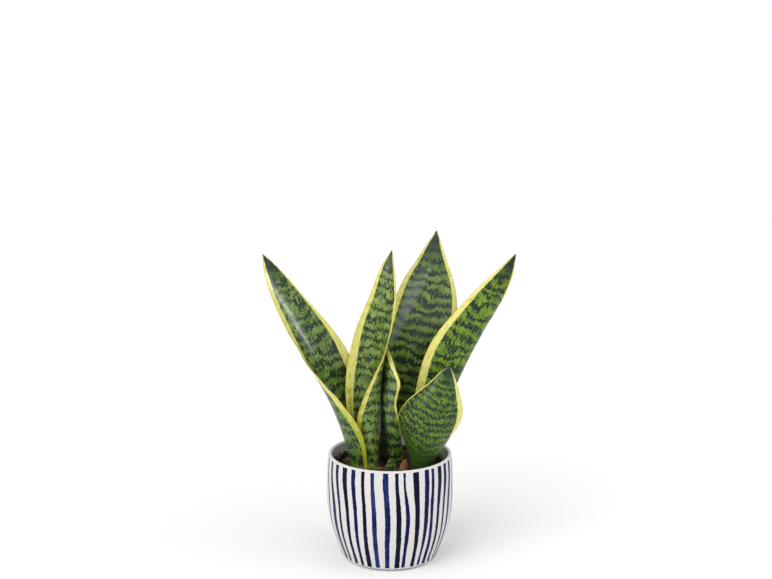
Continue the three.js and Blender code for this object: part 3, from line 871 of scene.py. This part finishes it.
bark = bark_finish()
roughness = bpy.data.textures.new("split bark", "CLOUDS")
roughness.noise_scale = 1.4 * MM
roughness.noise_depth = 2
for number, (direction, turn, share, size) in enumerate(CHIPS, 1):
    angle = math.radians(direction)
    reach = share * SOIL_RADIUS
    height = SOIL_TOP - SOIL_MOUND * share**2 + 0.1 * size[2]
    clear_selection()
    spot = (reach * math.cos(angle) * MM, reach * math.sin(angle) * MM, height * MM)
    bpy.ops.mesh.primitive_cube_add(size=MM, location=spot)
    chip = bpy.context.object
    chip.scale = size
    chip.rotation_euler = (0.2, 0, math.radians(turn))
    bpy.ops.object.transform_apply(location=True, rotation=True, scale=True)
    bpy.ops.object.mode_set(mode="EDIT")
    bpy.ops.mesh.select_all(action="SELECT")
    bpy.ops.mesh.bevel(offset=0.25 * min(size) * MM, segments=2, profile=0.6)
    bpy.ops.mesh.subdivide(number_cuts=6)
    bpy.ops.object.mode_set(mode="OBJECT")
    rough = chip.modifiers.new("rough", "DISPLACE")
    rough.texture = roughness
    rough.texture_coords = "LOCAL"
    rough.strength = 1.6 * MM
    rough.mid_level = 0.55
    apply_modifiers(chip)
    finish_piece(chip, "rough_chip_%d" % number, bark, "bark", "bark_chip_%d" % number)


# %% [markdown]
# Coir strands are long coconut fibres. A fibre is a curve with a thin round bevel, turned into
# a mesh. The four long ones stand for the CAD strands; many short ones are copies of one curl.

# %% Coir strands
def coir_finish():
    material, tree, shader = new_finish("coir", Roughness=0.7)
    place = put(tree, "TexCoord").outputs["Object"]
    shade = cloud(tree, place, (90, 90, 90), 3)
    colour = blend(tree, ramp(tree, shade, 0.35, 0.65), (0.16, 0.055, 0.018, 1), (0.48, 0.24, 0.09, 1))
    tree.links.new(colour, shader.inputs["Base Color"])
    return material


coir = coir_finish()


def make_fibre(points, radius, sides=1, steps=6):
    """A tapered round fibre through points in mm; sides is the bevel's resolution."""
    clear_selection()
    bpy.ops.curve.primitive_nurbs_path_add(location=(0, 0, 0))
    path = bpy.context.object
    spline = path.data.splines[0]
    missing = len(points) - len(spline.points)
    if missing > 0:
        spline.points.add(missing)
    for i, point in enumerate(spline.points):
        x, y, z = points[min(i, len(points) - 1)]
        point.co = (x * MM, y * MM, z * MM, 1)
        point.radius = 1.0 if 0 < i < len(points) - 1 else 0.4
    spline.order_u = 3
    spline.use_endpoint_u = True
    spline.resolution_u = steps
    path.data.bevel_depth = radius * MM
    path.data.bevel_resolution = sides
    path.data.use_fill_caps = True
    bpy.ops.object.convert(target="MESH")
    return bpy.context.object


# the start, the middle and the end of each strand, as shares of the soil's radius
STRANDS = [
    ((-0.42, -0.56), (-0.20, -0.60), (0.02, -0.50)), ((0.10, -0.62), (0.30, -0.75), (0.50, -0.62)),
    ((0.62, 0.42), (0.50, 0.62), (0.30, 0.72)), ((-0.84, 0.10), (-0.92, 0.00), (-0.88, -0.16)),
]
ARCHES = (9, 2.8, 2.8, 2.8)
ROUTE_STEPS = 6
STRAND_RADIUS = 0.32
for number, (ends, arch) in enumerate(zip(STRANDS, ARCHES), 1):
    (ax, ay), (bx, by), (cx, cy) = [(x * SOIL_RADIUS, y * SOIL_RADIUS) for x, y in ends]
    route = []
    for i in range(ROUTE_STEPS + 1):
        t = i / ROUTE_STEPS
        x = (1 - t) ** 2 * ax + 2 * t * (1 - t) * (2 * bx - (ax + cx) / 2) + t * t * cx
        y = (1 - t) ** 2 * ay + 2 * t * (1 - t) * (2 * by - (ay + cy) / 2) + t * t * cy
        rise = arch * math.sin(math.pi * t) + 0.5 * math.sin(9 * t)
        route.append((x, y, soil_height(x, y) - 1 + rise))
    strand = make_fibre(route, STRAND_RADIUS, 2)
    finish_piece(strand, "long_fibre_%d" % number, coir, "coir", "coir_strand_%d" % number)

# %% Short fibres and curls
CURL = [
    (-5, 0, -0.5), (-3, 1.2, 0.9), (0, 1.6, 1.3), (2.6, 0.6, 1.5), (4.2, -1.4, 0.8),
    (5, -2.6, -0.4),
]
SHORT_FIBRES = 170
fibre = make_fibre(CURL, 0.17, 0, 2)
straws = random.Random(23)
tangle = []
for _ in range(SHORT_FIBRES):
    x, y = random_spot(straws, 12, 52.5)
    size = straws.uniform(0.45, 1.3)
    spot = (x, y, soil_height(x, y) + straws.uniform(0.2, 1.0))
    turn = (straws.uniform(-0.5, 0.5), straws.uniform(-0.2, 0.2), straws.uniform(0, math.tau))
    tangle.append(place_copy(fibre, spot, turn, (size, size * straws.uniform(-1, 1), size)))
bpy.data.objects.remove(fibre)
join_into(tangle[0], tangle)
fibres = bpy.context.object
bpy.ops.object.transform_apply(location=True, rotation=True, scale=True)
bpy.ops.object.mode_set(mode="EDIT")
bpy.ops.mesh.select_all(action="SELECT")
bpy.ops.mesh.normals_make_consistent(inside=False)
bpy.ops.object.mode_set(mode="OBJECT")
finish_piece(fibres, "short_fibres", coir, "coir")


# %% [markdown]
# The rhizome and roots are buried, so their CAD shapes are kept and only get a better finish:
# cream flesh with darker rings and a little soil stain.

# %% Root finish on the kept CAD nodes
def root_finish():
    material, tree, shader = new_finish("root flesh", Roughness=0.6)
    place = put(tree, "TexCoord").outputs["Object"]
    rings = cloud(tree, place, (350, 350, 350), 3)
    colour = blend(tree, ramp(tree, rings, 0.35, 0.7), (0.62, 0.42, 0.20, 1), (0.28, 0.14, 0.055, 1))
    tree.links.new(colour, shader.inputs["Base Color"])
    relief_into(tree, shader, rings, 0.0006)
    return material


flesh = root_finish()
for node_name in ("rhizome", "root_1", "root_2", "root_3", "root_4"):
    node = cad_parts[node_name]
    for i in range(len(node.data.materials)):
        node.data.materials[i] = flesh

# %% [markdown]
# A plain studio: a wide pale floor, a pale sky all round for even light, and large soft lamps.
# Big lamps close to the subject give soft shadows and long highlights on the waxy leaves.

# %% Floor, light and camera
clear_selection()
FLOOR_SIZE = 400
ROOM_LIGHT = 0.66
bpy.ops.mesh.primitive_plane_add(size=FLOOR_SIZE, location=(0, 0, 0))
floor = bpy.context.object
floor.name = "floor"
pale = new_finish("pale floor", Roughness=0.9, Base_Color=(0.95, 0.95, 0.95, 1))[0]
floor.data.materials.append(pale)

world = bpy.data.worlds.new("pale room")
world.use_nodes = True
sky = world.node_tree.nodes["Background"]
sky.inputs["Color"].default_value = (1, 1, 1, 1)
sky.inputs["Strength"].default_value = ROOM_LIGHT
scene = bpy.context.scene
scene.world = world
scene.view_settings.view_transform = "Standard"


def soft_lamp(name, place, aim, width, height, power):
    """A tall lit panel, seen only as a gleam in shiny surfaces."""
    data = bpy.data.lights.new(name, "AREA")
    data.shape = "RECTANGLE"
    data.size = width
    data.size_y = height
    data.energy = power
    lamp = bpy.data.objects.new(name, data)
    lamp.location = place
    lamp.rotation_euler = (Vector(aim) - Vector(place)).to_track_quat("-Z", "Y").to_euler()
    lamp.visible_diffuse = False
    scene.collection.objects.link(lamp)


def wide_sun(name, direction, spread, strength):
    """Soft light from one side, from so far away that the floor is lit evenly."""
    data = bpy.data.lights.new(name, "SUN")
    data.angle = math.radians(spread)
    data.energy = strength
    sun = bpy.data.objects.new(name, data)
    sun.rotation_euler = Vector(direction).to_track_quat("-Z", "Y").to_euler()
    scene.collection.objects.link(sun)


wide_sun("window side", (0.6, 0.75, -1.0), 45, 1.3)
wide_sun("room side", (-0.8, 0.5, -0.9), 60, 0.58)
PLANT_MIDDLE = (0, 0, 0.22)
soft_lamp("left strip", (-1.0, -1.1, 0.9), PLANT_MIDDLE, 0.35, 1.3, 16)
soft_lamp("right strip", (1.5, -0.35, 0.75), PLANT_MIDDLE, 0.40, 1.2, 26)

# the camera looks a little down at the plant, through a long lens
CAMERA_PLACE = (-0.004, -1.4, 0.570)
CAMERA_TILT = 11.66
camera_data = bpy.data.cameras.new("camera")
camera_data.lens = 66.5
camera_data.sensor_width = 36
camera = bpy.data.objects.new("camera", camera_data)
camera.location = CAMERA_PLACE
camera.rotation_euler = (math.radians(90 - CAMERA_TILT), 0, 0)
scene.collection.objects.link(camera)
scene.camera = camera
